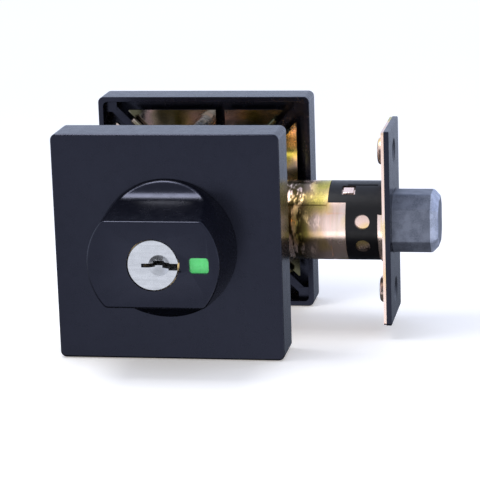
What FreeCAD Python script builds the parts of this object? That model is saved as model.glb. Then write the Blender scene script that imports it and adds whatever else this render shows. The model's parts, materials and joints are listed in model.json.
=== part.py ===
import FreeCAD, Part
import math
import os

# Double-cylinder deadbolt lock for a door, millimetres.
# Origin: where the turning axis (Y) meets the latch axis (X), in the middle of the door.
# +X points to the door edge and the bolt, +Y to the outside of the door, +Z up.

# ---- door and its holes ----
door_thickness = 45.0
backset = 60.3
cross_bore_diameter = 54.0
edge_bore_diameter = 25.4

# ---- clearances ----
running_gap = 0.05
free_gap = 0.3
slip_gap = 0.1
skin_gap = 0.2

# ---- roses ----
rose_size = 65.0
rose_corner_radius = 2.3
rose_edge_radius = 1.0
interior_rose_depth = 14.0
interior_rose_wall = 2.2
exterior_rose_depth = 11.5
exterior_rose_wall = 1.6
exterior_rose_face = 2.0
corner_block = 6.5
corner_rib_width = 4.0

# ---- mounting plates and through-bolts ----
plate_thickness = 2.0
exterior_plate_thickness = 1.5
exterior_plate_recess = 3.4
exterior_plate_rim_gap = 3.0
exterior_dish_depth = 1.8
exterior_panel_radius = 19.0
plate_rim_gap = 0.6
plate_corner_cut = 7.0
bolt_offset = 24.0
bolt_shank_radius = 2.0
bolt_head_radius = 3.9
bolt_head_height = 3.0
collar_wall = 0.8
collar_length = 2.6
key_slot_width = 2.8
key_slot_length = 8.0
grub_radius = 1.5

# ---- turn knob ----
knob_stand = 20.0
knob_base_radius = 19.9
knob_face_radius = 18.5
knob_grip_half = 12.2
knob_floor_thickness = 1.4
knob_draft_degrees = 11.0
knob_scoop_radius = 6.0
knob_corner_radius = 1.8
knob_edge_radius = 0.6
knob_face_wall = 1.9
knob_cavity_radius = 16.6
knob_cavity_half = 10.2
neck_radius = 14.0
neck_hollow_radius = 12.2
neck_lip = 0.7
hub_flange_thickness = 3.2
bush_wall = 0.9
bush_flange_thickness = 0.8
bush_flange_radius = 17.0
clip_thickness = 1.0
clip_groove_depth = 1.0
clip_radius = 16.5
back_plate_thickness = 1.8
assembly_screw_x = -6.5
assembly_screw_z = 9.0
assembly_screw_radius = 1.2
assembly_head_radius = 2.0
assembly_head_height = 1.1
screw_boss_radius = 2.3

# ---- indicator ----
window_x = 12.9
window_width = 5.4
window_height = 4.4
window_corner = 0.9
window_recess = 0.6
window_thickness = 1.0
flag_thickness = 0.8
field_thickness = 0.3
flag_margin = 0.35
arm_thickness = 1.4
arm_height = 3.2

# ---- key cylinders ----
plug_radius = 6.5
plug_head_margin = 0.55
plug_head_length = 1.6
plug_tail_radius = 5.0
plug_groove_radius = 4.2
plug_clip_margin = 0.9
plug_clip_thickness = 0.7
tail_disc_thickness = 0.9
keyway_width = 2.5
keyway_depth = 10.2
keyway_ward = 0.75
key_mouth_radius = 2.9
key_mouth_offset = 1.8
interior_plug_length = 24.4
exterior_plug_length = 22.6
housing_wall = 2.1
chamber_height = 5.7
bible_half = 3.6
exterior_housing_wall = 6.5
exterior_tail_room = 6.6
exterior_flange_radius = 17.0
exterior_flange_chamfer = 1.2
housing_nut_radius = 17.0
housing_nut_height = 2.6
pin_count = 5
pin_pitch = 4.0
first_pin_inset = 5.4
pin_radius = 1.4
key_pin_lengths = (3.6, 4.4, 3.2, 4.8, 4.0)
driver_length = 2.8
spring_length = 2.1
spring_wire_radius = 0.17
spring_turns = 3.0
chamber_cover_thickness = 0.5
chamber_cover_half = 1.9

# ---- key-operated lock slider ----
tail_cam_radius = 5.6
tail_cam_thickness = 1.4
tail_pin_orbit = 3.7
tail_pin_radius = 1.0
tail_pin_play = 0.25
slider_thickness = 1.3
slider_nose_half = 2.2
slider_nose_reach = 12.9
lock_ring_outer_radius = 17.8
lock_ring_height = 4.8

# ---- tailpiece and lost-motion dog ----
tailpiece_width = 5.0
tailpiece_thickness = 2.6
tailpiece_head_width = 8.0
tailpiece_head_length = 1.0
dog_radius = 3.5
dog_reach = 5.8
dog_half_degrees = 18.0
dog_thickness = 1.4
driver_disc_thickness = 1.5
driver_rest_degrees = 135.0

# ---- latch ----
crank_radius = 9.2
crank_pin_radius = 1.2
crank_tip_radius = 2.2
cheek_inner = 2.3
cheek_thickness = 2.0
hub_core_radius = 4.2
hub_shoulder_radius = 5.2
case_plate_thickness = 1.2
case_inner_half = 6.9
case_half_height = 8.6
case_back = 13.0
case_tongue_half_height = 6.6
case_overlap = 6.0
spacer_radius = 1.1
spacer_x = 9.5
leaf_thickness = 0.4
rivet_radius = 1.2
tube_start = 12.0
tube_radius = 11.6
tube_wall = 0.75
sleeve_wall = 0.6
sleeve_length = 20.0
sleeve_flange_radius = 12.0
lap_depth = 0.25
lap_half_angle_z = 6.4
collar_rear_upper = 42.0
collar_rear_lower = 47.3
collar_front_inset = 1.6
collar_tongue_gap = 0.3
collar_step_z = 4.2
tab_length = 5.6
tab_height = 3.0
square_hole = 3.9
square_hole_inset = 6.8
square_hole_tilt = 28.0
round_hole_radius = 2.15
round_hole_inset = 2.2
round_hole_angles = (10.0, -28.0)
backplate_thickness = 0.8
faceplate_thickness = 1.5
faceplate_height = 57.15
faceplate_width = 25.4
faceplate_corner = 0.8
faceplate_edge = 0.3
backplate_margin = 0.15
screw_spacing = 41.28
screw_hole_radius = 2.3
countersink_radius = 4.0
countersink_depth = 0.85
dimple_depth = 2.2
dimple_edge_radius = 0.9
dimple_wall = 0.5

# ---- deadbolt ----
bolt_reach = 13.2
bolt_length = 33.5
bolt_height = 17.2
bolt_width = 16.0
bolt_chamfer = 3.8
bolt_nose_chamfer = 1.8
tail_thickness = 3.8
tail_height = 4.0
tail_socket_depth = 9.0
tail_bridge = 0.9
crank_slot_play = 0.35
tail_pin_bolt_radius = 1.25
anti_saw_radius = 1.6
anti_saw_z = 2.9

# ---- places that follow from the sizes above ----
plug_head_radius = plug_radius + plug_head_margin
plug_clip_radius = plug_radius + plug_clip_margin
housing_radius = plug_radius + housing_wall
bible_reach = plug_radius + chamber_height
exterior_housing_radius = plug_radius + exterior_housing_wall
inside = -door_thickness / 2
outside = door_thickness / 2
rose_half = rose_size / 2
interior_face = inside - interior_rose_depth
exterior_face = outside + exterior_rose_depth
knob_face = interior_face - knob_stand
knob_back = interior_face - free_gap
knob_floor = knob_back - knob_floor_thickness
cavity_front = knob_face + knob_face_wall
hub_front = knob_back - hub_flange_thickness - free_gap
neck_radius_gap = neck_radius + running_gap
clip_front = interior_face + interior_rose_wall + bush_flange_thickness + free_gap
back_plate_back = inside - plate_thickness - slip_gap
back_plate_front = back_plate_back - back_plate_thickness
plate_front = inside - plate_thickness
plug_face = knob_face + slip_gap
housing_front = cavity_front + slip_gap
housing_back = housing_front + plug_head_length + interior_plug_length - 3.4
disc_front = housing_back + skin_gap + plug_clip_thickness + slip_gap
tail_cam_front = disc_front + tail_disc_thickness
tail_cam_back = tail_cam_front + tail_cam_thickness
slider_front = tail_cam_back + free_gap
slider_back = slider_front + slider_thickness
slider_travel = 2 * tail_pin_orbit * math.sin(math.radians(45))
tail_pin_rest = tail_pin_orbit * math.cos(math.radians(45))
crank_rest = crank_radius * math.cos(math.radians(45))
bolt_throw = 2 * crank_rest
faceplate_back = backset - faceplate_thickness
backplate_back = faceplate_back - backplate_thickness
bolt_nose = backset + bolt_reach
bolt_rear = bolt_nose - bolt_length
tail_bottom = hub_core_radius + free_gap
tube_bore = tube_radius - tube_wall
sleeve_radius = tube_bore - running_gap
sleeve_bore = sleeve_radius - sleeve_wall
cheek_outer = cheek_inner + cheek_thickness
case_outer_half = case_inner_half + case_plate_thickness
exterior_plate_front = outside + exterior_plate_recess
panel_front = exterior_plate_front + exterior_dish_depth
exterior_housing_back = case_outer_half + exterior_tail_room
exterior_housing_face = exterior_housing_back + plug_head_length + exterior_plug_length - 1.4
exterior_disc_back = exterior_housing_back - skin_gap - plug_clip_thickness - slip_gap
driver_back = exterior_disc_back - tail_disc_thickness
driver_front = driver_back - driver_disc_thickness
dog_back = driver_front - free_gap
dog_front = dog_back - dog_thickness
tailpiece_start = back_plate_front
tailpiece_end = dog_back

AXES = {"x": FreeCAD.Vector(1, 0, 0), "y": FreeCAD.Vector(0, 1, 0), "z": FreeCAD.Vector(0, 0, 1)}


def point(axis, along, a, b):
    """A point at `along` on the axis, with a and b on the other two axes in x, y, z order."""
    if axis == "x":
        return FreeCAD.Vector(along, a, b)
    if axis == "y":
        return FreeCAD.Vector(a, along, b)
    return FreeCAD.Vector(a, b, along)


def rod(axis, radius, start, end, a=0.0, b=0.0):
    return Part.makeCylinder(radius, end - start, point(axis, start, a, b), AXES[axis])


def taper(axis, radius_start, radius_end, start, end, a=0.0, b=0.0):
    base = point(axis, start, a, b)
    return Part.makeCone(radius_start, radius_end, end - start, base, AXES[axis])


def ring(axis, outer, inner, start, end, a=0.0, b=0.0):
    return rod(axis, outer, start, end, a, b).cut(rod(axis, inner, start - 1, end + 1, a, b))


def block(x0, x1, y0, y1, z0, z1):
    return Part.makeBox(x1 - x0, y1 - y0, z1 - z0, FreeCAD.Vector(x0, y0, z0))


def turned(shape, axis, degrees):
    copy = shape.copy()
    copy.rotate(FreeCAD.Vector(0, 0, 0), AXES[axis], degrees)
    return copy


def mirrored(shape, axis):
    return shape.mirror(FreeCAD.Vector(0, 0, 0), AXES[axis])


def edges_where(shape, test):
    return [edge for edge in shape.Edges if test(edge.BoundBox)]


def along(axis):
    """A test for edges that run only along one axis."""
    def test(box):
        sides = {"x": box.XLength, "y": box.YLength, "z": box.ZLength}
        length = sides.pop(axis)
        return length > 0.1 and max(sides.values()) < 0.01
    return test


def prism(axis, start, end, outline):
    """A prism along an axis from an outline of points (a, b) on the other two axes."""
    corners = [point(axis, start, a, b) for a, b in outline]
    face = Part.Face(Part.makePolygon(corners + corners[:1]))
    return face.extrude(AXES[axis] * (end - start))


def square_post(half, corner, start, end):
    """A square post along Y with rounded corners."""
    post = block(-half, half, start, end, -half, half)
    return post.makeFillet(corner, edges_where(post, along("y")))


def save(name, *solids):
    for solid in solids:
        if not solid.isValid() or len(solid.Solids) != 1:
            raise ValueError(f"{name}: {len(solid.Solids)} solids, valid {solid.isValid()}")
    pieces = [solid.Solids[0] for solid in solids]
    shape = pieces[0] if len(pieces) == 1 else Part.makeCompound(pieces)
    shape.exportStep(f"parts/{name}.step")


# ---- roses and plates ----

def interior_rose():
    cup = square_post(rose_half, rose_corner_radius, interior_face, inside)
    front = edges_where(cup, lambda box: box.YMax < interior_face + 0.01)
    cup = cup.makeFillet(rose_edge_radius, front)
    inner_corner = rose_corner_radius - 1.0
    inner_half = rose_half - interior_rose_wall
    inner_front = interior_face + interior_rose_wall
    cup = cup.cut(square_post(inner_half, inner_corner, inner_front, inside + 1))
    cup = cup.cut(rod("y", neck_radius + bush_wall + running_gap, interior_face - 1, inside))
    grub_y = plate_front - grub_radius - 0.8
    cup = cup.cut(rod("z", grub_radius + running_gap, -rose_half - 1, -inner_half + 1, 0, grub_y))
    save("interior_rose", cup)


def interior_bearing_bush():
    inner_front = interior_face + interior_rose_wall
    outer = neck_radius + bush_wall
    sleeve = rod("y", outer, interior_face + skin_gap, inner_front)
    flange = rod("y", bush_flange_radius, inner_front, inner_front + bush_flange_thickness)
    bush = sleeve.fuse(flange).removeSplitter()
    bush = bush.cut(rod("y", neck_radius_gap, interior_face - 1, inside))
    save("interior_bearing_bush", bush)


def cut_corners(plate, half, start, end):
    reach = half + 1
    inset = half - plate_corner_cut
    for side_x in (-1, 1):
        for side_z in (-1, 1):
            outline = [
                (side_x * reach, side_z * (inset - 1)),
                (side_x * reach, side_z * reach),
                (side_x * (inset - 1), side_z * reach),
            ]
            plate = plate.cut(prism("y", start, end, outline))
    return plate


def interior_mounting_plate():
    half = rose_half - interior_rose_wall - plate_rim_gap
    plate = block(-half, half, plate_front, inside, -half, half)
    plate = cut_corners(plate, half, plate_front - 1, inside + 1)
    lug_top = -half + 1.6
    lug = block(-5, 5, plate_front - 2 * grub_radius - 1.4, plate_front, -half, lug_top)
    plate = plate.fuse(lug).removeSplitter()
    plate = plate.cut(rod("y", neck_radius + 1.2, plate_front - 1, inside + 1))
    for z in (-bolt_offset, bolt_offset):
        hole = rod("y", bolt_shank_radius + free_gap, plate_front - 1, inside + 1, 0, z)
        plate = plate.cut(hole)
    save("interior_mounting_plate", plate)


def knob_lock_ring():
    """A ring on the interior plate, with notches for the lock slider's nose at both ends of the turn."""
    inner = neck_radius + free_gap + 0.05
    front = plate_front - lock_ring_height
    lock_ring = ring("y", lock_ring_outer_radius, inner, front, plate_front)
    half = slider_nose_half + free_gap
    reach = lock_ring_outer_radius + 1
    low = slider_front - free_gap
    high = slider_back + free_gap
    notch = block(-half, half, low, high, inner - 2, reach)
    lock_ring = lock_ring.cut(notch).cut(turned(notch, "y", -90))
    save("knob_lock_ring", lock_ring)


def rose_grub_screw():
    grub_y = plate_front - grub_radius - 0.8
    plate_edge = -(rose_half - interior_rose_wall - plate_rim_gap)
    screw = rod("z", grub_radius, -rose_half + 0.4, plate_edge, 0, grub_y)
    socket = prism("z", -rose_half, -rose_half + 1.6, hexagon(0.75, 0, grub_y))
    save("rose_grub_screw", screw.cut(socket))


def hexagon(radius, a, b):
    angles = [math.radians(60 * step) for step in range(6)]
    return [(a + radius * math.cos(angle), b + radius * math.sin(angle)) for angle in angles]


def through_bolts():
    bolts = []
    for z in (-bolt_offset, bolt_offset):
        end = exterior_plate_front + exterior_plate_thickness
        shank = rod("y", bolt_shank_radius, plate_front, end, 0, z)
        head_front = plate_front - bolt_head_height
        head = rod("y", bolt_head_radius, head_front, plate_front, 0, z)
        head = head.makeFillet(0.8, edges_where(head, lambda box: box.YMax < head_front + 0.01))
        socket = prism("y", head_front - 1, head_front + 1.8, hexagon(1.7, 0, z))
        bolts.append(head.fuse(shank).removeSplitter().cut(socket))
    save("through_bolts", *bolts)


def exterior_rose():
    cup = square_post(rose_half, rose_corner_radius, outside, exterior_face)
    back = edges_where(cup, lambda box: box.YMin > exterior_face - 0.01)
    cup = cup.makeFillet(rose_edge_radius, back)
    inner_half = rose_half - exterior_rose_wall
    inner_back = exterior_face - exterior_rose_face
    cup = cup.cut(square_post(inner_half, rose_corner_radius - 1.0, outside - 1, inner_back))
    front = exterior_plate_front - 0.3
    block_start = inner_half - corner_block
    bore = exterior_housing_radius + skin_gap
    rib_start = exterior_panel_radius + 2.5
    rib_end = math.sqrt(2) * (block_start + 1)
    half = corner_rib_width / 2
    for quarter in range(4):
        post = block(block_start, inner_half + 0.2, front, inner_back + 0.2, block_start, inner_half + 0.2)
        rib = block(rib_start, rib_end, front, inner_back + 0.2, -half, half)
        cup = cup.fuse(turned(post, "y", 90 * quarter)).fuse(turned(rib, "y", 45 + 90 * quarter))
    cup = cup.removeSplitter().cut(rod("y", bore, outside, exterior_face + 1))
    save("exterior_rose", cup)


def exterior_plate_outline(half, start, end):
    """The square plate with its diagonal clearances for the rose's ribs and corner blocks."""
    plate = block(-half, half, start, end, -half, half)
    slot_half = corner_rib_width / 2 + plate_rim_gap
    slot_start = exterior_panel_radius + 2.5 - plate_rim_gap
    corner = rose_half - exterior_rose_wall - corner_block - plate_rim_gap
    for quarter in range(4):
        slot = block(slot_start, 2 * half, start - 1, end + 1, -slot_half, slot_half)
        pocket = block(corner, half + 1, start - 1, end + 1, corner, half + 1)
        plate = plate.cut(turned(slot, "y", 45 + 90 * quarter))
        plate = plate.cut(turned(pocket, "y", 90 * quarter))
    return plate


def exterior_mounting_plate():
    half = rose_half - exterior_rose_wall - exterior_plate_rim_gap
    front = exterior_plate_front
    thick = exterior_plate_thickness
    back = panel_front + thick
    plate = exterior_plate_outline(half, front, front + thick)
    dish_outer = taper("y", exterior_panel_radius + 1.4, exterior_panel_radius, front, back)
    dish_inner = taper("y", exterior_panel_radius, exterior_panel_radius - 1.4, front - 0.01, panel_front)
    plate = plate.cut(dish_outer).fuse(dish_outer.cut(dish_inner)).removeSplitter()
    plate = plate.cut(rod("y", exterior_housing_radius + slip_gap, front - 1, back + 1))
    bore = bolt_shank_radius + running_gap
    for z in (-bolt_offset, bolt_offset):
        collar = rod("y", bore + collar_wall, front - collar_length, front, 0, z)
        plate = plate.fuse(collar).removeSplitter()
        plate = plate.cut(rod("y", bore, front - collar_length - 1, back + 1, 0, z))
    slot_left = bore + collar_wall + 0.4
    slot_right = slot_left + key_slot_width
    slot = block(slot_left, slot_right, front - 1, front + thick + 1, half - key_slot_length, half + 1)
    save("exterior_mounting_plate", plate.cut(slot))


# ---- turn knob ----

def knob_cavity(radius, half, start, end):
    """A round space along Y with two flat sides."""
    return rod("y", radius, start, end).common(block(-30, 30, start, end, -half, half))


def knob_scoop():
    """The tool that scoops one flank of the knob, above the grip."""
    slope = math.tan(math.radians(knob_draft_degrees))
    over = 1.0
    foot = knob_grip_half + (knob_floor - knob_face) * slope
    reach = knob_base_radius + knob_scoop_radius + over
    outline = [
        (knob_face - over, knob_grip_half - over * slope),
        (knob_floor, foot),
        (knob_floor, reach),
        (knob_face - over, reach),
    ]
    tool = prism("x", -reach, reach, outline)
    root = edges_where(tool, lambda box: box.YMin > knob_floor - 0.01 and box.ZMax < foot + 0.01)
    return tool.makeFillet(knob_scoop_radius, root)


def knob_blank():
    blank = taper("y", knob_face_radius, knob_base_radius, knob_face, knob_back)
    scoop = knob_scoop()
    blank = blank.cut(scoop).cut(mirrored(scoop, "z"))
    middle = (knob_face + knob_floor) / 2

    def is_corner(box):
        crosses = box.YMin < middle < box.YMax
        return crosses and abs((box.XMin + box.XMax) / 2) > 5

    blank = blank.makeFillet(knob_corner_radius, edges_where(blank, is_corner))
    rim = edges_where(blank, lambda box: box.YMax < knob_face + 0.01)
    return blank.makeFillet(knob_edge_radius, rim)


def window_post(grow, start, end):
    wide = window_width / 2 + grow
    tall = window_height / 2 + grow
    post = block(window_x - wide, window_x + wide, start, end, -tall, tall)
    return post.makeFillet(window_corner + grow, edges_where(post, along("y")))


def turn_knob():
    knob = knob_blank()
    knob = knob.cut(knob_cavity(knob_cavity_radius, knob_cavity_half, cavity_front, knob_back + 1))
    for z in (-assembly_screw_z, assembly_screw_z):
        post = rod("y", screw_boss_radius, cavity_front - 0.5, hub_front, assembly_screw_x, z)
        knob = knob.fuse(post)
    knob = knob.removeSplitter()
    for z in (-assembly_screw_z, assembly_screw_z):
        pilot_end = hub_front - 5.0
        pilot = rod("y", assembly_screw_radius + running_gap, pilot_end, hub_front + 1, assembly_screw_x, z)
        knob = knob.cut(pilot)
    knob = knob.cut(rod("y", plug_head_radius + 0.25, knob_face - 1, cavity_front + 1))
    mouth = keyway_width / 2 + 0.6
    mouth_end = plug_head_radius + 0.9
    knob = knob.cut(block(plug_head_radius - 1, mouth_end, knob_face - 1, knob_face + 0.9, -mouth, mouth))
    knob = knob.cut(window_post(0, knob_face - 1, cavity_front + 1))
    save("turn_knob", knob)


def knob_hub():
    """The neck behind the knob: a flange inside the knob's back, and a neck through the rose."""
    flange = knob_cavity(knob_cavity_radius - slip_gap, knob_cavity_half - slip_gap, hub_front, knob_back)
    neck = rod("y", neck_radius, knob_back, back_plate_back)
    hub = flange.fuse(neck).removeSplitter()
    hub = hub.cut(cylinder_envelope(slip_gap + running_gap, hub_front - 1, housing_back))
    hub = hub.cut(rod("y", housing_radius - 0.6, housing_back - 1, back_plate_back + 1))
    hollow = rod("y", neck_hollow_radius, housing_back + 0.6, back_plate_back + 1)
    for z in (-assembly_screw_z, assembly_screw_z):
        hollow = hollow.cut(rod("y", screw_boss_radius, hub_front, back_plate_front, assembly_screw_x, z))
    hub = hub.cut(hollow)
    rise = arm_height / 2 + free_gap
    arm_low = -tail_pin_rest - rise
    arm_high = slider_travel - tail_pin_rest + rise
    arm_in = window_x - window_width / 2 - 0.9
    arm_out = arm_in + arm_thickness + 2 * free_gap
    hub = hub.cut(block(arm_in - 2.5, arm_out, hub_front - 1, slider_front, arm_low, arm_high))
    nose_half = slider_nose_half + free_gap
    hub = hub.cut(block(-nose_half, nose_half, slider_front - free_gap, back_plate_front, 8, neck_radius + 1))
    groove_end = clip_front + clip_thickness + slip_gap
    groove_floor = neck_radius - clip_groove_depth
    hub = hub.cut(ring("y", neck_radius + 1, groove_floor, clip_front - slip_gap, groove_end))
    for z in (-assembly_screw_z, assembly_screw_z):
        hole_radius = assembly_screw_radius + slip_gap
        hole = rod("y", hole_radius, hub_front - 1, back_plate_back + 1, assembly_screw_x, z)
        hub = hub.cut(hole)
    seat = rod("y", neck_radius - neck_lip, back_plate_front, back_plate_back + 1)
    save("knob_hub", hub.cut(seat))


def knob_retaining_clip():
    inner = neck_radius - clip_groove_depth + running_gap
    clip = ring("y", clip_radius, inner, clip_front, clip_front + clip_thickness)
    gap = block(-5, 5, clip_front - 1, clip_front + clip_thickness + 1, -clip_radius - 1, 0)
    save("knob_retaining_clip", clip.cut(gap))


def tailpiece_slot(grow, start, end):
    wide = tailpiece_width / 2 + grow
    thin = tailpiece_thickness / 2 + grow
    return block(-wide, wide, start, end, -thin, thin)


def knob_back_plate():
    plate = rod("y", neck_radius - neck_lip - running_gap, back_plate_front, back_plate_back)
    plate = plate.cut(tailpiece_slot(running_gap, back_plate_front - 1, back_plate_back + 1))
    head_half = tailpiece_head_width / 2 + running_gap
    head_end = back_plate_front + tailpiece_head_length + running_gap
    thin = tailpiece_thickness / 2 + running_gap
    plate = plate.cut(block(-head_half, head_half, back_plate_front - 1, head_end, -thin, thin))
    for z in (-assembly_screw_z, assembly_screw_z):
        at = (assembly_screw_x, z)
        hole_radius = assembly_screw_radius + slip_gap
        plate = plate.cut(rod("y", hole_radius, back_plate_front - 1, back_plate_back + 1, *at))
        sink = back_plate_back - assembly_head_height
        plate = plate.cut(rod("y", assembly_head_radius + slip_gap, sink, back_plate_back + 1, *at))
    save("knob_back_plate", plate)


def knob_assembly_screws():
    screws = []
    sink = back_plate_back - assembly_head_height
    for z in (-assembly_screw_z, assembly_screw_z):
        at = (assembly_screw_x, z)
        head = rod("y", assembly_head_radius, sink, back_plate_back, *at)
        shank = rod("y", assembly_screw_radius, hub_front - 4.6, sink, *at)
        socket = prism("y", back_plate_back - 0.7, back_plate_back + 1, hexagon(1.0, *at))
        screws.append(head.fuse(shank).removeSplitter().cut(socket))
    save("knob_assembly_screws", *screws)


def indicator_window():
    front = knob_face + window_recess
    save("indicator_window", window_post(-running_gap, front, front + window_thickness))


def tailpiece():
    bar = tailpiece_slot(0, tailpiece_start, tailpiece_end)
    head_half = tailpiece_head_width / 2
    thin = tailpiece_thickness / 2
    head_end = tailpiece_start + tailpiece_head_length
    head = block(-head_half, head_half, tailpiece_start, head_end, -thin, thin)
    save("tailpiece", bar.fuse(head).removeSplitter())


def sector(inner, outer, start, end, middle_degrees, half_degrees):
    """A ring sector along Y, centred on an angle that is measured from +Z towards +X."""
    whole = ring("y", outer, inner, start, end)
    reach = 2 * outer
    spread = reach * math.tan(math.radians(half_degrees))
    wedge = prism("y", start - 1, end + 1, [(0, 0), (-spread, reach), (spread, reach)])
    return whole.common(turned(wedge, "y", middle_degrees))


def tailpiece_dog():
    dog = rod("y", dog_radius, dog_front, dog_back)
    dog = dog.fuse(sector(dog_radius - 0.5, dog_reach, dog_front, dog_back, 0, dog_half_degrees))
    dog = dog.removeSplitter().cut(tailpiece_slot(running_gap, dog_front - 1, dog_back + 1))
    save("tailpiece_dog", dog)


# ---- key cylinders: built along the pin direction +Z, face at y = 0, body towards +Y ----

def cylinder_envelope(grow, start, end):
    """The interior housing's round body and its pin chamber block, which points to -X."""
    body = rod("y", housing_radius + grow, start, end)
    reach = bible_reach + grow
    half = bible_half + grow
    return body.fuse(block(-reach, 0, start, end, -half, half)).removeSplitter()


def pin_places():
    return [first_pin_inset + pin_pitch * index for index in range(pin_count)]


def plug_shape(length):
    """A plug with its face at y = 0, its keyway open to -Z and its pin holes open to +Z."""
    tail_start = plug_head_length + length
    groove_end = tail_start + skin_gap + plug_clip_thickness + slip_gap
    plug = rod("y", plug_head_radius, 0, plug_head_length)
    plug = plug.fuse(rod("y", plug_radius, plug_head_length, tail_start))
    plug = plug.fuse(rod("y", plug_groove_radius, tail_start, groove_end))
    plug = plug.fuse(rod("y", plug_tail_radius, groove_end, groove_end + tail_disc_thickness))
    plug = plug.removeSplitter()
    edge = edges_where(plug, lambda box: box.YMax < 0.01)
    plug = plug.makeFillet(0.3, edge)
    for place in pin_places():
        plug = plug.cut(rod("z", pin_radius + running_gap, 0, plug_head_radius + 1, 0, place))
    key_end = tail_start - 1.5
    plug = plug.cut(keyway(key_end))
    mouth = taper("y", key_mouth_radius, 0.6, -0.01, 1.5, 0, -key_mouth_offset)
    return plug.cut(mouth)


def keyway(end):
    """The warded key slot: two ribs from opposite sides bend it along its depth."""
    half = keyway_width / 2
    low = -plug_head_radius - 1
    high = keyway_depth - plug_head_radius
    ward = keyway_ward
    third = (plug_head_radius + high) / 3
    outline = [
        (-half, low),
        (-half, -plug_head_radius + third - 0.6),
        (-half + ward, -plug_head_radius + third),
        (-half, -plug_head_radius + third + 0.6),
        (-half, high),
        (half, high),
        (half, -plug_head_radius + 2 * third + 0.6),
        (half - ward, -plug_head_radius + 2 * third),
        (half, -plug_head_radius + 2 * third - 0.6),
        (half, low),
    ]
    return prism("y", -1, end, outline)


def key_pins(top):
    pins = []
    for place, length in zip(pin_places(), key_pin_lengths):
        tip = 0.7
        shaft = rod("z", pin_radius, top - length + tip, top, 0, place)
        point_end = taper("z", pin_radius - 0.6, pin_radius, top - length, top - length + tip, 0, place)
        pins.append(shaft.fuse(point_end).removeSplitter())
    return pins


def driver_pins(bottom):
    return [rod("z", pin_radius, bottom, bottom + driver_length, 0, place) for place in pin_places()]


def coil_springs(bottom):
    coils = []
    coil_radius = pin_radius - spring_wire_radius - 0.1
    rise = spring_length - 2 * spring_wire_radius
    for place in pin_places():
        path = Part.makeHelix(rise / spring_turns, rise, coil_radius)
        section = Part.Wire(Part.makeCircle(
            spring_wire_radius, FreeCAD.Vector(coil_radius, 0, 0), FreeCAD.Vector(0, 1, 0)))
        coil = Part.Wire(path).makePipeShell([section], True, True)
        coil.translate(FreeCAD.Vector(0, place, bottom + spring_wire_radius))
        coils.append(coil)
    return coils


def to_interior(shape):
    """Turns a cylinder part so that its pins point to -X, with its face at the knob's face."""
    copy = turned(shape, "y", -90)
    copy.translate(FreeCAD.Vector(0, plug_face, 0))
    return copy


def to_exterior(shape):
    """Turns a cylinder part to face the outside, with its pins still pointing up."""
    copy = turned(shape, "z", 180)
    copy.translate(FreeCAD.Vector(0, exterior_housing_face - slip_gap, 0))
    return copy


def chamber_tool(low, high):
    tool = rod("z", pin_radius + running_gap, low, high, 0, pin_places()[0])
    for place in pin_places()[1:]:
        tool = tool.fuse(rod("z", pin_radius + running_gap, low, high, 0, place))
    return tool


def cover_block(grow, top, over):
    first = pin_places()[0] - pin_radius - 0.8
    last = pin_places()[-1] + pin_radius + 0.8
    half = chamber_cover_half + grow
    return block(-half, half, first - grow, last + grow, top - chamber_cover_thickness, top + over)


def interior_cylinder_housing():
    body = cylinder_envelope(0, housing_front, housing_back)
    body = body.cut(rod("y", plug_radius + running_gap, housing_front - 1, housing_back + 1))
    head_end = plug_face + plug_head_length + skin_gap
    body = body.cut(rod("y", plug_head_radius + 0.25, housing_front - 1, head_end))
    body = body.cut(to_interior(chamber_tool(plug_radius - 1, bible_reach + 1)))
    body = body.cut(to_interior(cover_block(running_gap, bible_reach, 1)))
    save("interior_cylinder_housing", body)


def exterior_cylinder_housing():
    flange = rod("y", exterior_flange_radius, exterior_face, exterior_housing_face)
    rim = edges_where(flange, lambda box: box.YMin > exterior_housing_face - 0.01)
    flange = flange.makeChamfer(exterior_flange_chamfer, rim)
    body = rod("y", exterior_housing_radius, exterior_housing_back, exterior_face + 0.5)
    body = body.fuse(flange).removeSplitter()
    body = body.cut(rod("y", plug_radius + running_gap, exterior_housing_back - 1, exterior_housing_face + 1))
    head_start = exterior_housing_face - slip_gap - plug_head_length - skin_gap
    body = body.cut(rod("y", plug_head_radius + 0.25, head_start, exterior_housing_face + 1))
    body = body.cut(to_exterior(chamber_tool(plug_radius - 1, exterior_housing_radius + 1)))
    body = body.cut(to_exterior(cover_block(running_gap, exterior_housing_radius, 1)))
    save("exterior_cylinder_housing", body)


def pin_stacks(side, place_shape, chamber_top):
    top = plug_radius - slip_gap
    save(f"{side}_key_pins", *[place_shape(pin) for pin in key_pins(top)])
    bottom = plug_radius + slip_gap
    save(f"{side}_driver_pins", *[place_shape(pin) for pin in driver_pins(bottom)])
    seat = chamber_top - chamber_cover_thickness - spring_length
    save(f"{side}_pin_springs", *[place_shape(coil) for coil in coil_springs(seat)])
    cover = place_shape(cover_block(0, chamber_top, 0))
    if side == "exterior":
        cover = cover.common(rod("y", exterior_housing_radius, exterior_housing_back, exterior_housing_face))
    save(f"{side}_chamber_cover", cover)


def plug_clip(start):
    clip = ring("y", plug_clip_radius, plug_groove_radius + running_gap, start, start + plug_clip_thickness)
    return clip.cut(block(-2.5, 2.5, start - 1, start + 2, -plug_clip_radius - 1, 0))


def interior_key_plug():
    length = housing_back - plug_face - plug_head_length
    save("interior_key_plug", to_interior(plug_shape(length)))
    save("interior_plug_clip", plug_clip(housing_back + skin_gap))


def exterior_key_plug():
    length = exterior_housing_face - slip_gap - plug_head_length - exterior_housing_back
    save("exterior_key_plug", to_exterior(plug_shape(length)))
    save("exterior_plug_clip", plug_clip(exterior_housing_back - skin_gap - plug_clip_thickness))


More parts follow.
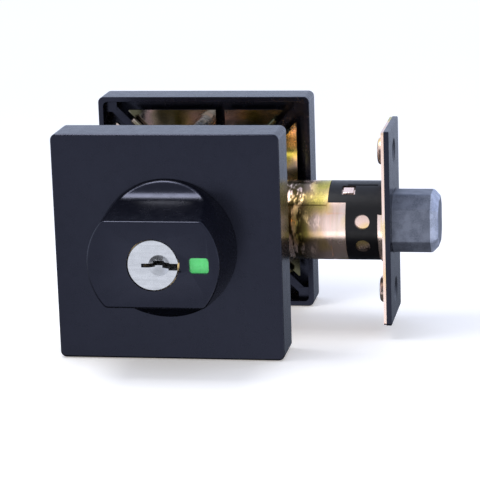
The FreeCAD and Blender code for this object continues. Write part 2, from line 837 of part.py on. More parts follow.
def exterior_housing_nut():
    start = panel_front - housing_nut_height
    nut = ring("y", housing_nut_radius, exterior_housing_radius + running_gap, start, panel_front)
    for quarter in range(4):
        slot = block(housing_nut_radius - 1.6, housing_nut_radius + 1, start - 1, panel_front + 1, -1.5, 1.5)
        nut = nut.cut(turned(slot, "y", 45 + 90 * quarter))
    save("exterior_housing_nut", nut)


def exterior_tail_driver():
    disc = rod("y", dog_reach, driver_front, driver_back)
    lug_end = driver_front + 0.2
    lug = sector(dog_radius + free_gap, dog_reach, dog_front, lug_end, driver_rest_degrees, dog_half_degrees)
    save("exterior_tail_driver", disc.fuse(lug).removeSplitter())


# ---- key-operated slider and indicator ----

def interior_tail_cam():
    disc = rod("y", tail_cam_radius, tail_cam_front, tail_cam_back)
    pin = rod("y", tail_pin_radius, tail_cam_back - 0.5, slider_back + 0.2, tail_pin_rest, -tail_pin_rest)
    cam = disc.fuse(pin).removeSplitter()
    cam = cam.cut(rod("y", 0.9 + running_gap, tail_cam_front - 1, tail_cam_back + 1))
    save("interior_tail_cam", cam.cut(rod("y", 1.5 + running_gap, tail_cam_back - 0.8, tail_cam_back + 1)))


def tail_cam_screw():
    head = rod("y", 1.5, tail_cam_back - 0.8, tail_cam_back - 0.1)
    shank = rod("y", 0.9, tail_cam_front, tail_cam_back - 0.8)
    slot = block(-0.25, 0.25, tail_cam_back - 0.45, tail_cam_back, -2, 2)
    save("tail_cam_screw", head.fuse(shank).removeSplitter().cut(slot))


def lock_slider():
    """A plate moved up and down by the tail cam's pin. Its nose enters the lock ring."""
    middle = -tail_pin_rest
    slot_half = tail_pin_radius + tail_pin_play
    wall = 1.4
    arm_in = window_x - window_width / 2 - 0.9 + free_gap
    arm_out = arm_in + arm_thickness
    low = middle - slot_half - wall
    high = middle + slot_half + wall
    body = block(-slider_nose_half, arm_out, slider_front, slider_back, low, high)
    nose = block(-slider_nose_half, slider_nose_half, slider_front, slider_back, high - 1, slider_nose_reach)
    slot = block(tail_pin_rest - slot_half, tail_pin_orbit + slot_half, slider_front - 1, slider_back + 1,
                 middle - slot_half, middle + slot_half)
    arm_back = slider_front + 0.3
    flag_back = flag_front() + flag_thickness
    arm = block(arm_in, arm_out, flag_back, arm_back, middle - arm_height / 2, middle + arm_height / 2)
    save("lock_slider", body.fuse(nose).cut(slot).fuse(arm).removeSplitter())


def flag_front():
    return cavity_front + free_gap + field_thickness


def flag_box(start, end, low, high, margin):
    """A plate behind the window, trimmed to stay clear of the knob's wall in both positions."""
    left = window_x - window_width / 2 - margin
    right = window_x + window_width / 2 + margin
    plate = block(left, right, start, end, low, high)
    reach = knob_cavity_radius - free_gap
    for shift in (0, -slider_travel):
        room = Part.makeCylinder(reach, end - start + 2, FreeCAD.Vector(0, start - 1, shift), AXES["y"])
        plate = plate.common(room)
    return plate


def indicator_flag():
    half = slider_travel / 2
    start = flag_front()
    end = start + flag_thickness
    low = -slider_travel - half - flag_margin
    save("indicator_flag", flag_box(start, end, low, half + flag_margin, 0.7))
    back = start
    front = start - field_thickness
    save("indicator_green_field", flag_box(front, back, -half + 0.02, half, flag_margin))
    save("indicator_red_field", flag_box(front, back, -half - slider_travel, -half - 0.02, flag_margin))


# ---- latch ----

def arc_plate(outline_rods, start, end):
    """Two round ends along Y joined by their tangent sides: (radius, x, z) each."""
    (big, x0, z0), (small, x1, z1) = outline_rods
    span = math.hypot(x1 - x0, z1 - z0)
    heading = math.atan2(z1 - z0, x1 - x0)
    lean = math.acos((big - small) / span)
    corners = []
    for radius, x, z, sign in ((big, x0, z0, 1), (small, x1, z1, 1), (small, x1, z1, -1), (big, x0, z0, -1)):
        angle = heading + sign * lean
        corners.append((x + radius * math.cos(angle), z + radius * math.sin(angle)))
    web = prism("y", start, end, corners)
    return web.fuse(rod("y", big, start, end, x0, z0)).fuse(rod("y", small, start, end, x1, z1))


def cam_hub():
    journal = case_outer_half + 0.3
    hub = rod("y", hub_core_radius, -journal, journal)
    shoulder = case_inner_half - free_gap
    for start, end in ((-shoulder, -cheek_inner), (cheek_inner, shoulder)):
        hub = hub.fuse(rod("y", hub_shoulder_radius, start, end))
    for start, end in ((-cheek_outer, -cheek_inner), (cheek_inner, cheek_outer)):
        ends = ((hub_shoulder_radius, 0, 0), (crank_tip_radius, crank_rest, crank_rest))
        hub = hub.fuse(arc_plate(ends, start, end))
    hub = hub.removeSplitter().cut(tailpiece_slot(running_gap, -journal - 1, journal + 1))
    hole_half = cheek_outer + 1
    pin_hole = rod("y", crank_pin_radius + running_gap, -hole_half, hole_half, crank_rest, crank_rest)
    save("cam_hub", hub.cut(pin_hole))


def crank_pin():
    end = cheek_outer + 0.4
    save("crank_pin", rod("y", crank_pin_radius, -end, end, crank_rest, crank_rest))


def latch_case():
    """Two side plates joined by a back wall, open above and below for the crank."""
    half = case_outer_half
    shape = block(-case_back, tube_start, -half, half, -case_half_height, case_half_height)
    tongue_end = tube_start + case_overlap
    tongues = block(tube_start - 1, tongue_end, -case_outer_half, case_outer_half,
                    -case_tongue_half_height, case_tongue_half_height)
    shape = shape.fuse(tongues).removeSplitter()
    inner = case_inner_half
    shape = shape.cut(block(-case_back + case_plate_thickness, tongue_end + 1, -inner, inner, -20, 20))
    shape = shape.cut(rod("y", hub_core_radius + running_gap, -20, 20))
    for x in (-spacer_x, spacer_x):
        shape = shape.cut(rod("y", spacer_radius + running_gap, -20, 20, x, spacer_z()))
    shape = shape.cut(rod("y", rivet_radius + running_gap, -20, 20, tube_start + case_overlap / 2, 0))
    save("latch_case", shape)


def spacer_z():
    return -hub_shoulder_radius - free_gap - leaf_thickness - spacer_radius


def case_spacers():
    end = case_outer_half + 0.2
    pins = [rod("y", spacer_radius, -end, end, x, spacer_z()) for x in (-spacer_x, spacer_x)]
    save("case_spacers", *pins)


def detent_leaf_spring():
    top = -hub_shoulder_radius - free_gap
    half = case_inner_half - 1.2
    reach = spacer_x + spacer_radius + running_gap + leaf_thickness
    leaf = block(-reach, reach, -half, half, top - leaf_thickness, top)
    for sign in (-1, 1):
        ends = sorted((sign * (reach - leaf_thickness), sign * reach))
        leaf = leaf.fuse(block(ends[0], ends[1], -half, half, top - 1.6, top))
    save("detent_leaf_spring", leaf.removeSplitter())


def case_rivets():
    x = tube_start + case_overlap / 2
    rivets = []
    for sign in (-1, 1):
        ends = sorted((sign * (case_inner_half + 0.1), sign * (tube_radius - 0.1)))
        rivets.append(rod("y", rivet_radius, ends[0], ends[1], x, 0))
    save("case_rivets", *rivets)


def stepped_half(radius, front, rear_upper, rear_lower, step_z):
    """A tool along X whose rear end is further back above step_z than below it."""
    upper = block(rear_upper, front, -radius, radius, step_z, radius)
    lower = block(rear_lower, front, -radius, radius, -radius, step_z)
    return upper.fuse(lower).removeSplitter()


def latch_outer_tube():
    """The rolled rear tube. Its front edge matches the collar's stepped rear edge."""
    tube = ring("x", tube_radius, tube_bore, tube_start, collar_rear_lower - slip_gap)
    upper = collar_rear_upper - slip_gap
    lower = collar_rear_lower - slip_gap
    tool = stepped_half(20, 60, upper, lower, collar_step_z + tab_height)
    tube = tube.cut(tool)
    skin = ring("x", tube_radius + 1, tube_radius - lap_depth, tube_start - 1, collar_rear_upper)
    near = block(tube_start + 10, collar_rear_upper, -20, 0, lap_half_angle_z, lap_half_angle_z + 0.5)
    tab_rear = collar_rear_lower - tab_length
    under = block(tab_rear, collar_rear_lower, -20, 0, collar_step_z, collar_step_z + 0.35)
    behind = block(tab_rear, tab_rear + 0.35, -20, 0, collar_step_z, collar_step_z + tab_height)
    tab_skin = ring("x", tube_radius + 1, tube_radius - lap_depth, tube_start, collar_rear_lower)
    tube = tube.cut(skin.common(near)).cut(tab_skin.common(under.fuse(behind)))
    tube = tube.cut(rod("y", rivet_radius + running_gap, -20, 20, tube_start + case_overlap / 2, 0))
    save("latch_outer_tube", tube)


def latch_inner_sleeve():
    start = backplate_back - sleeve_length
    sleeve = rod("x", sleeve_radius, start, backplate_back)
    flange = rod("x", sleeve_flange_radius, backplate_back - 1.2, backplate_back)
    step = rod("x", tube_radius - 0.2, backplate_back - collar_front_inset + slip_gap, backplate_back)
    rim = ring("x", sleeve_flange_radius + 1, sleeve_radius, start, backplate_back - collar_tongue_gap / 2)
    above = block(start, backplate_back, -20, 20, collar_step_z - slip_gap, 20)
    sleeve = sleeve.fuse(flange).fuse(step).removeSplitter().cut(rim.common(above))
    save("latch_inner_sleeve", sleeve.cut(rod("x", sleeve_bore, start - 1, backplate_back + 1)))


def latch_collar():
    """The plastic sleeve in front of the outer tube, with a square hole and two round ones."""
    front = backplate_back - collar_front_inset
    tongue_front = backplate_back - collar_tongue_gap
    collar = ring("x", tube_radius, sleeve_radius + running_gap, collar_rear_upper, tongue_front)
    collar = collar.cut(block(front, backplate_back, -20, 20, -20, collar_step_z))
    step = collar_step_z + tab_height + slip_gap
    rear = block(collar_rear_upper - 1, collar_rear_lower, -20, 20, -20, step)
    collar = collar.cut(rear)
    half = square_hole / 2
    centre = front - square_hole_inset - half
    hole = block(centre - half, centre + half, -half, half, 5, 20)
    collar = collar.cut(turned(hole, "x", square_hole_tilt))
    for angle in round_hole_angles:
        place = front - round_hole_inset - round_hole_radius
        drill = rod("y", round_hole_radius, -20, -5, place, 0)
        collar = collar.cut(turned(drill, "x", -angle))
    save("latch_collar", collar)


def bolt_bar(start, end, grow):
    """The deadbolt's chamfered rectangular section along X."""
    tall = bolt_height / 2 + grow
    wide = bolt_width / 2 + grow
    cut = bolt_chamfer + grow * (2 - math.sqrt(2))
    outline = []
    for sign_y, sign_z in ((1, 1), (-1, 1), (-1, -1), (1, -1)):
        corners = [(sign_y * wide, sign_z * (tall - cut)), (sign_y * (wide - cut), sign_z * tall)]
        outline += corners if sign_y * sign_z > 0 else corners[::-1]
    return prism("x", start, end, outline)


def screw_heights():
    return (-screw_spacing / 2, screw_spacing / 2)


def latch_backplate():
    half_z = faceplate_height / 2 - backplate_margin
    half_y = faceplate_width / 2 - backplate_margin / 2
    plate = block(backplate_back, faceplate_back, -half_y, half_y, -half_z, half_z)
    plate = plate.makeFillet(faceplate_corner, edges_where(plate, along("x")))
    wall = dimple_wall
    back = backplate_back - dimple_depth
    for z in screw_heights():
        cup = taper("x", screw_hole_radius + 1.4, countersink_radius + wall, back, backplate_back, 0, z)
        cup = cup.makeFillet(dimple_edge_radius, edges_where(cup, lambda box: box.XMax < back + 0.01))
        plate = plate.fuse(cup)
    plate = plate.removeSplitter()
    for z in screw_heights():
        plate = plate.cut(rod("x", screw_hole_radius, 0, backset, 0, z))
        mouth = faceplate_back + 0.001
        hollow = taper("x", screw_hole_radius + 0.8, countersink_radius, back + wall, mouth, 0, z)
        plate = plate.cut(hollow)
    save("latch_backplate", plate.cut(bolt_bar(0, backset, free_gap)))


def latch_faceplate():
    half_z = faceplate_height / 2
    half_y = faceplate_width / 2
    plate = block(faceplate_back, backset, -half_y, half_y, -half_z, half_z)
    plate = plate.makeFillet(faceplate_corner, edges_where(plate, along("x")))
    rim = edges_where(plate, lambda box: box.XMin > backset - 0.01)
    plate = plate.makeFillet(faceplate_edge, rim)
    bottom = backset - countersink_depth
    for z in screw_heights():
        plate = plate.cut(rod("x", screw_hole_radius, 0, backset + 1, 0, z))
        plate = plate.cut(taper("x", screw_hole_radius, countersink_radius, bottom, backset + 0.001, 0, z))
    save("latch_faceplate", plate.cut(bolt_bar(0, backset + 1, free_gap)))


# ---- deadbolt ----

def deadbolt():
    bar = bolt_bar(bolt_rear, bolt_nose, 0)
    nose = edges_where(bar, lambda box: box.XMin > bolt_nose - 0.01)
    bar = bar.makeChamfer(bolt_nose_chamfer, nose)
    half = tail_thickness / 2 + running_gap
    socket_end = bolt_rear + tail_socket_depth + slip_gap
    bar = bar.cut(block(bolt_rear - 1, socket_end, -half, half, tail_bottom - slip_gap, bolt_height))
    bar = bar.cut(rod("y", tail_pin_bolt_radius, -20, 20, bolt_rear + tail_socket_depth / 2, tail_pin_z()))
    for z in (-anti_saw_z, anti_saw_z):
        bar = bar.cut(rod("x", anti_saw_radius + running_gap, bolt_rear + 1, bolt_nose - 4, 0, z))
        bar = bar.cut(rod("x", anti_saw_radius - 0.4, bolt_rear - 1, bolt_rear + 2, 0, z))
    save("deadbolt", bar)


def tail_pin_z():
    return tail_bottom + tail_height / 2


def bolt_tail():
    """The flat tail: a bar in the bolt's socket, and a head whose slot takes the crank pin."""
    half = tail_thickness / 2
    slot_half = crank_pin_radius + crank_slot_play
    wall = 1.8
    slot_top = crank_radius + crank_pin_radius + 0.2
    head_top = slot_top + tail_bridge
    head_start = crank_rest - slot_half - wall
    head_end = crank_rest + slot_half + wall
    tail_top = tail_bottom + tail_height
    bar = block(head_start, bolt_rear + tail_socket_depth, -half, half, tail_bottom, tail_top)
    head = block(head_start, head_end, -half, half, tail_bottom, head_top)
    tail = bar.fuse(head).removeSplitter()
    slot_end = crank_rest + slot_half
    slot = block(crank_rest - slot_half, slot_end, -half - 1, half + 1, tail_bottom - 1, slot_top)
    tail = tail.cut(slot)
    hole = rod("y", tail_pin_bolt_radius, -20, 20, bolt_rear + tail_socket_depth / 2, tail_pin_z())
    save("bolt_tail", tail.cut(hole))


def bolt_tail_pin():
    slope = tail_pin_z() - (bolt_height / 2 - bolt_chamfer)
    end = bolt_width / 2 - max(slope, 0) - tail_pin_bolt_radius - 0.2
    save("bolt_tail_pin", rod("y", tail_pin_bolt_radius - running_gap / 2, -end, end,
                              bolt_rear + tail_socket_depth / 2, tail_pin_z()))


def anti_saw_pins():
    start = bolt_rear + 2 + running_gap
    end = bolt_nose - 4 - slip_gap
    save("anti_saw_pins", *[rod("x", anti_saw_radius, start, end, 0, z) for z in (-anti_saw_z, anti_saw_z)])


def main():
    os.makedirs("parts", exist_ok=True)
    interior_rose()
    interior_bearing_bush()
    interior_mounting_plate()
    knob_lock_ring()
    rose_grub_screw()
    through_bolts()
    exterior_rose()
    exterior_mounting_plate()
    turn_knob()
    knob_hub()
    knob_retaining_clip()
    knob_back_plate()
    knob_assembly_screws()
    indicator_window()
    tailpiece()
    tailpiece_dog()
    interior_cylinder_housing()
    exterior_cylinder_housing()
    pin_stacks("interior", to_interior, bible_reach)
    pin_stacks("exterior", to_exterior, exterior_housing_radius)
    interior_key_plug()
    exterior_key_plug()
    exterior_housing_nut()
    exterior_tail_driver()
    interior_tail_cam()
    tail_cam_screw()
    lock_slider()
    indicator_flag()
    cam_hub()
    crank_pin()
    latch_case()
    case_spacers()
    detent_leaf_spring()
    case_rivets()
    latch_outer_tube()
    latch_inner_sleeve()
    latch_collar()
    latch_backplate()
    latch_faceplate()
    deadbolt()
    bolt_tail()
    bolt_tail_pin()
    anti_saw_pins()


main()
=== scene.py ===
import json
import math

import bmesh
import bpy
from mathutils import Matrix, Vector


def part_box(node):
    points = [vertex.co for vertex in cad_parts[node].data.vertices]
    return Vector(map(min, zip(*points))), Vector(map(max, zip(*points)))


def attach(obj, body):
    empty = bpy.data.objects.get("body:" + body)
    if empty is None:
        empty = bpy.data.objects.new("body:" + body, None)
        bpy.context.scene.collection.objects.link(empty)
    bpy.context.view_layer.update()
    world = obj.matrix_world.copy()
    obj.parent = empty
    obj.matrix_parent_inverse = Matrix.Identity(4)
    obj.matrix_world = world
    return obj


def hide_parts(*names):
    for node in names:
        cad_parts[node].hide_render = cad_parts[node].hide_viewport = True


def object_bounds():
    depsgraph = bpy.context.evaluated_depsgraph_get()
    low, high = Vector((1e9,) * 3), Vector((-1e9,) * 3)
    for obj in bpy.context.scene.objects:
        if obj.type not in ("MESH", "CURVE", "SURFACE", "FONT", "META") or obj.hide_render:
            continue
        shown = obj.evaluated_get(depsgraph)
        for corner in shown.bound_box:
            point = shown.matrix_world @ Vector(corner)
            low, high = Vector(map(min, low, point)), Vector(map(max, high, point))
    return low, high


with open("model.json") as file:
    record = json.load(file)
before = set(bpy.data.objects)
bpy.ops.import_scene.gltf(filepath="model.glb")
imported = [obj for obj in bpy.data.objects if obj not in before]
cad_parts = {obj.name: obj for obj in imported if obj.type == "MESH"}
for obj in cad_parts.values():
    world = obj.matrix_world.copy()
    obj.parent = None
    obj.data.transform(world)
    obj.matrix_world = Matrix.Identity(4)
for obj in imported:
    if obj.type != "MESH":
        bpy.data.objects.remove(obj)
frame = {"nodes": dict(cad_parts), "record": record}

MM = 0.001
PER_METRE = 1000
AXIS = {"x": Vector((1, 0, 0)), "y": Vector((0, 1, 0)), "z": Vector((0, 0, 1))}
OUTWARD = {"x": Vector((0, 0, 1)), "y": Vector((0, 0, 1)), "z": Vector((1, 0, 0))}
SHARP_ANGLE = math.radians(32)
CLEAN_ANGLE = math.radians(0.5)
cad_box = [list(corner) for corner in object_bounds()]
bodies = frame["record"]["behaviour"]["bodies"]
body_of_node = {node: body for body, nodes in bodies.items() for node in nodes}
slot_of_node = {entry["node"]: entry["material_slot"] for entry in frame["record"]["subparts"]}


# ---- sizes, in millimetres and degrees ----

same_point = 0.0005     # points closer than this are one point
on_the_spot = 0.01      # how near an edge lies to the place it is looked for
over = 1                # how far a cutting tool reaches past what it cuts
far_over = 5

rose_corner = 1.7
rose_hollow_corner = 1.3
rose_face_rounding = 0.6
rose_lip_rounding = 0.2
rose_hollow_reach = 40  # deeper than either cup
interior_rose_wall = 2.2
interior_rose_face = 2.2
interior_rose_bore = 14.95
exterior_rose_wall = 1.6
exterior_rose_face = 2.0
exterior_rose_bore = 13.2
grub_hole_radius = 1.55
grub_hole_depth = 4

plate_seat = 2.6        # from the tips of the stamped plate's bolt collars back to its flat front
post_inner, post_outer, post_corner = 27.4, 31.0, 0.5
rib_start, rib_end, rib_half, rib_corner = 26.0, 41.0, 1.1, 0.3
post_rise, rib_rise = 0.3, 0.1
post_foot = 1.8         # less than the cup's face, so that posts and ribs grow out of it

bead_start, bead_end = 19, 34.2
bead_inner_taper, bead_outer_taper = 0.6, 0.7
bead_radius = 0.9
bead_spacing = 2.3
bead_setback = 0.1      # from the tips of the bolt collars back to the beads' middle line

bolt_corner = 3.8
bolt_nose = 1.8
bolt_rounding = 0.42
bolt_ridge_angle = 20
bolt_ridge_area = 5     # square millimetres: a smaller face belongs to a ridge
bolt_socket_half = 1.95
bolt_socket_gap = 0.1

faceplate_corner = 0.8
faceplate_rim = 0.3
faceplate_screw_height = 20.64
screw_hole_radius = 2.3
countersink_radius = 4.0
countersink_depth = 0.85
countersink_flare = 4.3
bolt_opening_gap = 0.3
bolt_opening_corner = 3.95

tube_radius = 11.6
tube_bore = 10.85
tube_edge = 0.12
tube_step_height = 7.2
tube_side_hole = 1.25
tube_side_hole_place = 15
seam_radius = 11.36     # the bottom of the lines in the tube's skin
seam_outside, seam_inside, flap_inside = 12, 6, 8
seam_core_length = 80
seam_start, lap_bottom, lap_top = 10, 6.4, 6.62
flap_start, flap_bottom, flap_top = 5.6, 4.2, 7.0
flap_line = 0.3
slot_start, slot_line, slot_bottom, slot_top = 4.4, 0.2, -9.0, 3.4
beyond_tube, wall_inside = 20, 5    # outside and inside any tube's wall

collar_edge = 0.15
collar_lip = 1.3
collar_gap = 0.1
collar_rear_height = 7.3
collar_lip_height = 4.2
slit_start, slit_end, slit_half, slit_angle = 9.3, 0.4, 0.28, 16
square_hole_half, square_hole_corner = 1.95, 0.25
square_hole_setback, square_hole_angle = 8.75, -62
round_hole_radius, round_hole_setback = 2.15, 4.35
round_hole_angles = (10, -28)
tab_low, tab_high, tab_rounding = (-1.6, -11.35, -1.2), (1.5, -10.2, 1.4), 0.25

plug_rim_radius, plug_head_radius, plug_body_radius, plug_tail_radius = 6.95, 7.11, 6.5, 4.4
plug_rim, plug_head, plug_tail = 0.16, 1.6, 2.0
dish_radius, dish_floor_radius, dish_floor, dish_depth, dish_place = 3.1, 1.2, 1.3, 1.5, 1.8
dish_over = 0.1
keyway_depth = 20
# Left, right, lower and upper sides of the keyway's four steps.
keyway = (
    (-3.2, 0.4, -0.60, 0.50),
    (0.0, 3.0, -0.30, 1.05),
    (2.4, 4.8, -0.95, 0.70),
    (4.4, 7.4, -1.35, 0.55),
)


# ---- finishes ----

def set_stops(ramp, stops):
    """Gives a colour ramp its (position, colour) stops."""
    elements = ramp.color_ramp.elements
    while len(elements) < len(stops):
        elements.new(0.5)
    for element, (position, colour) in zip(elements, stops):
        element.position = position
        element.color = (*colour, 1)


class Finish:
    """One node material, built up step by step on Object coordinates in millimetres."""

    def __init__(self, name):
        self.material = bpy.data.materials.new(name)
        self.material.use_nodes = True
        self.nodes = self.material.node_tree.nodes
        self.links = self.material.node_tree.links
        self.shader = self.nodes["Principled BSDF"]
        coordinates = self.nodes.new("ShaderNodeTexCoord")
        self.place = coordinates.outputs["Object"]
        self.bump = None

    def constants(self, **values):
        """Sets the shader's own values, named with underscores for spaces."""
        for key, value in values.items():
            self.shader.inputs[key.replace("_", " ")].default_value = value
        return self

    def noise(self, scale, detail=3.0, stretch=(1, 1, 1), rough=0.5):
        """Noise with `scale` features per millimetre, drawn out along the axes with a small stretch."""
        mapping = self.nodes.new("ShaderNodeMapping")
        mapping.inputs["Scale"].default_value = [PER_METRE * scale * factor for factor in stretch]
        self.links.new(self.place, mapping.inputs["Vector"])
        texture = self.nodes.new("ShaderNodeTexNoise")
        texture.inputs["Scale"].default_value = 1.0
        texture.inputs["Detail"].default_value = detail
        texture.inputs["Roughness"].default_value = rough
        self.links.new(mapping.outputs["Vector"], texture.inputs["Vector"])
        return texture.outputs["Fac"]

    def ramp(self, source, stops):
        """A colour ramp from (position, colour) stops."""
        ramp = self.nodes.new("ShaderNodeValToRGB")
        set_stops(ramp, stops)
        self.links.new(source, ramp.inputs["Fac"])
        return ramp.outputs["Color"]

    def spread(self, source, low, high, start=0.3, end=0.7):
        """Maps the middle of a noise to the range low to high."""
        node = self.nodes.new("ShaderNodeMapRange")
        node.inputs["From Min"].default_value = start
        node.inputs["From Max"].default_value = end
        node.inputs["To Min"].default_value = low
        node.inputs["To Max"].default_value = high
        self.links.new(source, node.inputs["Value"])
        return node.outputs["Result"]

    def mixed(self, factor, first, second, mode="MIX"):
        """Two colours, each a socket or a tuple, mixed by a socket or a number."""
        node = self.nodes.new("ShaderNodeMix")
        node.data_type = "RGBA"
        node.blend_type = mode
        for key, value in ((0, factor), (6, first), (7, second)):
            if isinstance(value, bpy.types.NodeSocket):
                self.links.new(value, node.inputs[key])
            elif key == 0:
                node.inputs[key].default_value = value
            else:
                node.inputs[key].default_value = (*value, 1)
        return node.outputs[2]

    def along(self, axis, low, high):
        """A factor that runs from 0 at one place on an axis to 1 at another, in millimetres."""
        parts = self.nodes.new("ShaderNodeSeparateXYZ")
        self.links.new(self.place, parts.inputs["Vector"])
        return self.spread(parts.outputs[axis], 0, 1, low * MM, high * MM)

    def painted_edge_highlight(self, amount):
        """A factor that is high on outer edges, where a painted highlight goes."""
        geometry = self.nodes.new("ShaderNodeNewGeometry")
        return self.spread(geometry.outputs["Pointiness"], 0, amount, 0.52, 0.62)

    def colour(self, socket):
        self.links.new(socket, self.shader.inputs["Base Color"])
        return self

    def roughness(self, socket):
        self.links.new(socket, self.shader.inputs["Roughness"])
        return self

    def relief(self, source, depth, strength):
        """Adds a bump layer of that depth in millimetres."""
        node = self.nodes.new("ShaderNodeBump")
        node.inputs["Strength"].default_value = strength
        node.inputs["Distance"].default_value = depth * MM
        self.links.new(source, node.inputs["Height"])
        if self.bump is not None:
            self.links.new(self.bump, node.inputs["Normal"])
        self.bump = node.outputs["Normal"]
        self.links.new(self.bump, self.shader.inputs["Normal"])
        return self


def satin_black():
    """Blue-black powder coat: a fine orange peel, with a painted highlight on the outer edges."""
    finish = Finish("blue_black_powder_coat")
    finish.constants(Metallic=0.0, IOR=1.46, Specular_Tint=(0.66, 0.70, 1.0, 1))
    cloud = finish.noise(0.05, 4)
    base = finish.ramp(cloud, [(0.3, (0.0006, 0.0007, 0.0022)), (0.7, (0.0012, 0.0013, 0.0034))])
    # Painted highlight: the outer edges are lightened through Pointiness.
    finish.colour(finish.mixed(finish.painted_edge_highlight(0.4), base, (0.02, 0.021, 0.027)))
    finish.roughness(finish.spread(finish.noise(0.4, 3), 0.22, 0.29))
    return finish.relief(finish.noise(1.2, 2), 0.0025, 0.3).material


def black_plastic():
    """Moulded plastic with a faint flow pattern."""
    finish = Finish("moulded_black_plastic").constants(Metallic=0.0, IOR=1.36)
    flow = finish.noise(0.12, 3, (0.3, 1, 1))
    finish.colour(finish.ramp(flow, [(0.3, (0.0025, 0.0022, 0.003)), (0.7, (0.005, 0.0045, 0.006))]))
    finish.roughness(finish.spread(finish.noise(0.9, 3), 0.28, 0.42))
    return finish.relief(finish.noise(4.0, 2), 0.006, 0.5).material


def yellow_zinc(name, painted_reflection=False):
    """Yellow passivation on steel: amber with drifts of green and rose. The flag adds a mottled dark brown
    band near the front rose: a painted reflection of the rose.
    """
    finish = Finish(name).constants(Metallic=0.92)
    drift = finish.noise(0.08, 2, (1, 0.7, 0.7), 0.45)
    tint = finish.ramp(drift, [
        (0.30, (0.60, 0.58, 0.18)),
        (0.37, (0.98, 0.74, 0.44)),
        (0.43, (1.0, 0.79, 0.71)),
        (0.57, (1.0, 0.72, 0.60)),
        (0.62, (0.98, 0.68, 0.32)),
        (0.69, (0.56, 0.48, 0.10)),
    ])
    streak = finish.noise(0.7, 3, (1, 0.06, 0.06), 0.5)
    tint = finish.mixed(finish.spread(streak, 0, 0.2, 0.5, 0.7), tint, (0.70, 0.48, 0.20))
    if painted_reflection:
        # Painted reflection of the front rose: dark brown mottling in a band of X from about 29 to 42 mm.
        painted_reflection_patch = finish.spread(finish.noise(0.34, 5, (1, 0.35, 0.35), 0.65), 0, 1, 0.42, 0.50)
        for low, high in ((42, 34), (24, 29)):
            painted_reflection_patch = finish.mixed(1.0, finish.along("X", low, high), painted_reflection_patch, "MULTIPLY")
        tint = finish.mixed(painted_reflection_patch, tint, (0.060, 0.040, 0.010))
    finish.colour(tint)
    finish.roughness(finish.spread(finish.noise(0.3, 3), 0.20, 0.28))
    return finish.relief(finish.noise(1.0, 2, (1, 0.05, 0.05)), 0.003, 0.35).material


def mirror_zinc():
    """The bright stamped plate behind the outer rose: a dark mirror with drifts of olive and rose."""
    finish = Finish("bright_passivated_plate").constants(Metallic=1.0)
    drift = finish.noise(0.07, 2, (1, 1, 1), 0.4)
    tint = finish.ramp(drift, [
        (0.38, (0.10, 0.10, 0.06)),
        (0.45, (0.30, 0.27, 0.19)),
        (0.50, (0.50, 0.40, 0.36)),
        (0.55, (0.31, 0.28, 0.25)),
        (0.62, (0.08, 0.075, 0.045)),
    ])
    finish.colour(tint)
    finish.roughness(finish.spread(finish.noise(0.4, 3), 0.06, 0.14))
    return finish.relief(finish.noise(0.12, 1), 0.25, 0.8).material


def bolt_steel(name, shade):
    """Grey satin steel with a fine sintered grain. A higher shade makes every colour brighter, for a painted
    highlight.
    """
    finish = Finish(name).constants(Metallic=0.6)
    grain = finish.noise(3.0, 4, (1, 1, 1), 0.7)
    dark, light, rubbed = (
        tuple(shade * part for part in colour)
        for colour in ((0.095, 0.106, 0.140), (0.190, 0.208, 0.262), (0.25, 0.27, 0.33))
    )
    base = finish.ramp(grain, [(0.35, dark), (0.65, light)])
    cloud = finish.spread(finish.noise(0.35, 3), 0, 0.5, 0.42, 0.62)
    finish.colour(finish.mixed(cloud, base, rubbed))
    finish.roughness(finish.spread(grain, 0.36, 0.52))
    return finish.relief(grain, 0.010, 0.6).material


def brushed(name, base, dark, roughness, stretch=(1, 0.05, 1), metallic=1.0):
    """A metal with fine marks along one axis."""
    finish = Finish(name).constants(Metallic=metallic)
    marks = finish.noise(1.6, 3, stretch)
    finish.colour(finish.ramp(marks, [(0.3, dark), (0.7, base)]))
    finish.roughness(finish.spread(finish.noise(0.6, 4), roughness - 0.06, roughness + 0.06))
    return finish.relief(marks, 0.006, 0.5).material


def signal_paint(name, colour):
    """Glossy enamel on the indicator's fields, with a faint painted glow in their own colour."""
    finish = Finish(name)
    # Painted glow: the enamel emits its own colour faintly.
    finish.constants(Metallic=0.0, Emission_Color=(*colour, 1), Emission_Strength=0.35)
    shade = tuple(0.8 * part for part in colour)
    finish.colour(finish.ramp(finish.noise(0.5, 2), [(0.3, shade), (0.7, colour)]))
    return finish.roughness(finish.spread(finish.noise(0.9, 2), 0.25, 0.35)).material


def clear_plastic():
    """The indicator's window."""
    finish = Finish("clear_window_plastic").constants(Transmission_Weight=1.0, IOR=1.3)
    cloud = finish.noise(0.2, 2)
    finish.colour(finish.ramp(cloud, [(0.3, (0.93, 0.98, 0.95)), (0.7, (0.98, 1.0, 0.99))]))
    return finish.roughness(finish.spread(finish.noise(0.7, 2), 0.02, 0.07)).material


